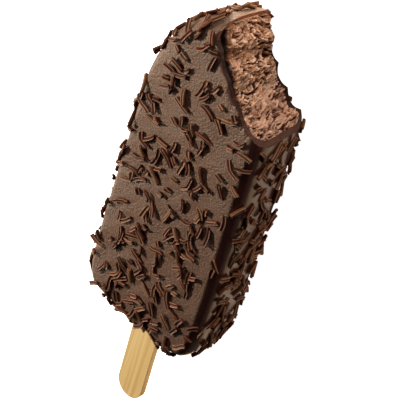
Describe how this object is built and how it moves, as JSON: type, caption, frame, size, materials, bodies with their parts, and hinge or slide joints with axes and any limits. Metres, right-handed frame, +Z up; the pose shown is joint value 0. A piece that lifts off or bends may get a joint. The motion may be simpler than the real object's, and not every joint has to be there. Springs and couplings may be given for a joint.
{
  "type": "ice cream bar",
  "caption": "Chocolate ice cream bar on a flat wooden stick, coated in chocolate with chocolate sprinkles, with a bite taken from a top corner; it lies on its back.",
  "frame": {"origin": "middle of the whole object's box, on the surface that it lies on", "axes": "+X across the bar towards its bitten side, +Y from the stick to the rounded top, +Z up through the thickness, out of the shown face"},
  "size_m": [0.0452, 0.1344, 0.0255],
  "materials": {
    "chocolate": "satin milk chocolate, slightly pebbled",
    "ice_cream": "matte torn chocolate ice cream with a granular crumb",
    "stick_wood": "smooth raw birch with straight grain"
  },
  "bodies": {
    "root": {"coating": "chocolate", "ice_cream": "ice_cream", "stick": "stick_wood"}
  },
  "joints": []
}
